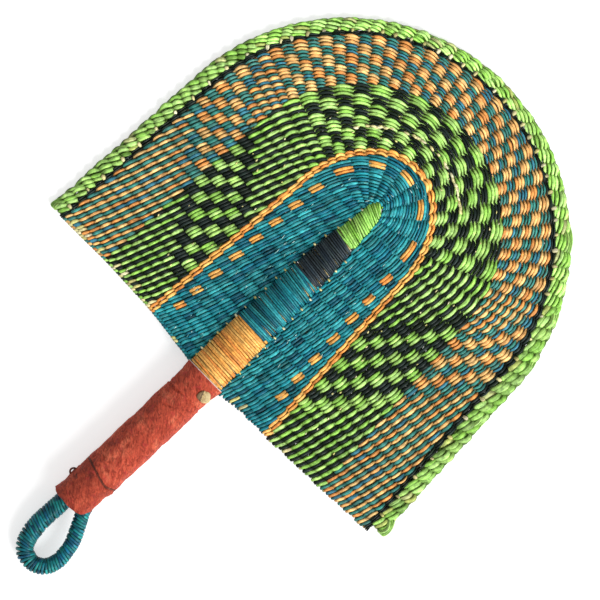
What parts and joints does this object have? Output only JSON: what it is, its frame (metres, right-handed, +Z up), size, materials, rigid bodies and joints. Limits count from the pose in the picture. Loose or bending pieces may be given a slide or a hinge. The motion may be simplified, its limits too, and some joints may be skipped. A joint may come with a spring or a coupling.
{
  "type": "woven hand fan",
  "caption": "Round-topped woven grass hand fan with a bound spine, plaited rim, leather-covered grip and a hanging loop.",
  "frame": {"origin": "middle of the fan's footprint, on the surface that it lies on", "axes": "+Y from the hanging loop to the crown of the blade, +Z up out of the face, +X to the right of the face"},
  "size_m": [0.3046, 0.4434, 0.026],
  "materials": {
    "grass_natural": "undyed split grass stalk, satin",
    "grass_teal": "dyed twisted grass, satin",
    "grass_orange": "dyed twisted grass, satin",
    "grass_green": "dyed twisted grass, satin",
    "grass_black": "dyed twisted grass, satin",
    "grip_leather": "dyed goatskin, dull, creased",
    "thong_leather": "thin rolled thong",
    "stalk_end": "cut dry stalk"
  },
  "bodies": {
    "root": {"spine_core": "grass_natural", "spine_binding_orange": "grass_orange", "spine_binding_teal": "grass_teal", "spine_binding_black": "grass_black", "spine_binding_green": "grass_green", "leather_grip": "grip_leather", "leather_cuff": "grip_leather", "neck_thong": "thong_leather", "thong_curl": "thong_leather", "stalk_peg": "stalk_end", "hanging_loop_core": "grass_natural", "hanging_loop_binding": "grass_teal", "weft_teal_field": "grass_teal", "weft_orange_ring": "grass_orange", "weft_green_black_band": "grass_green", "weft_orange_teal_band": "grass_orange", "weft_black_ring": "grass_black", "rim_braid": "grass_green", "cross_rib_01": "grass_natural", "cross_rib_02": "grass_natural", "cross_rib_03": "grass_natural", "cross_rib_04": "grass_natural", "cross_rib_05": "grass_natural", "cross_rib_06": "grass_natural", "cross_rib_07": "grass_natural", "cross_rib_08": "grass_natural", "cross_rib_09": "grass_natural", "cross_rib_10": "grass_natural", "cross_rib_11": "grass_natural", "cross_rib_12": "grass_natural", "cross_rib_13": "grass_natural", "cross_rib_14": "grass_natural", "cross_rib_15": "grass_natural", "cross_rib_16": "grass_natural", "cross_rib_17": "grass_natural", "cross_rib_18": "grass_natural", "tip_rib_01": "grass_natural", "tip_rib_02": "grass_natural", "tip_rib_03": "grass_natural", "tip_rib_04": "grass_natural", "tip_rib_05": "grass_natural", "tip_rib_06": "grass_natural", "tip_rib_07": "grass_natural", "tip_rib_08": "grass_natural", "tip_rib_09": "grass_natural", "inserted_rib_01": "grass_natural", "inserted_rib_02": "grass_natural", "inserted_rib_03": "grass_natural", "inserted_rib_04": "grass_natural", "inserted_rib_05": "grass_natural", "inserted_rib_06": "grass_natural", "inserted_rib_07": "grass_natural", "inserted_rib_08": "grass_natural"}
  },
  "joints": []
}
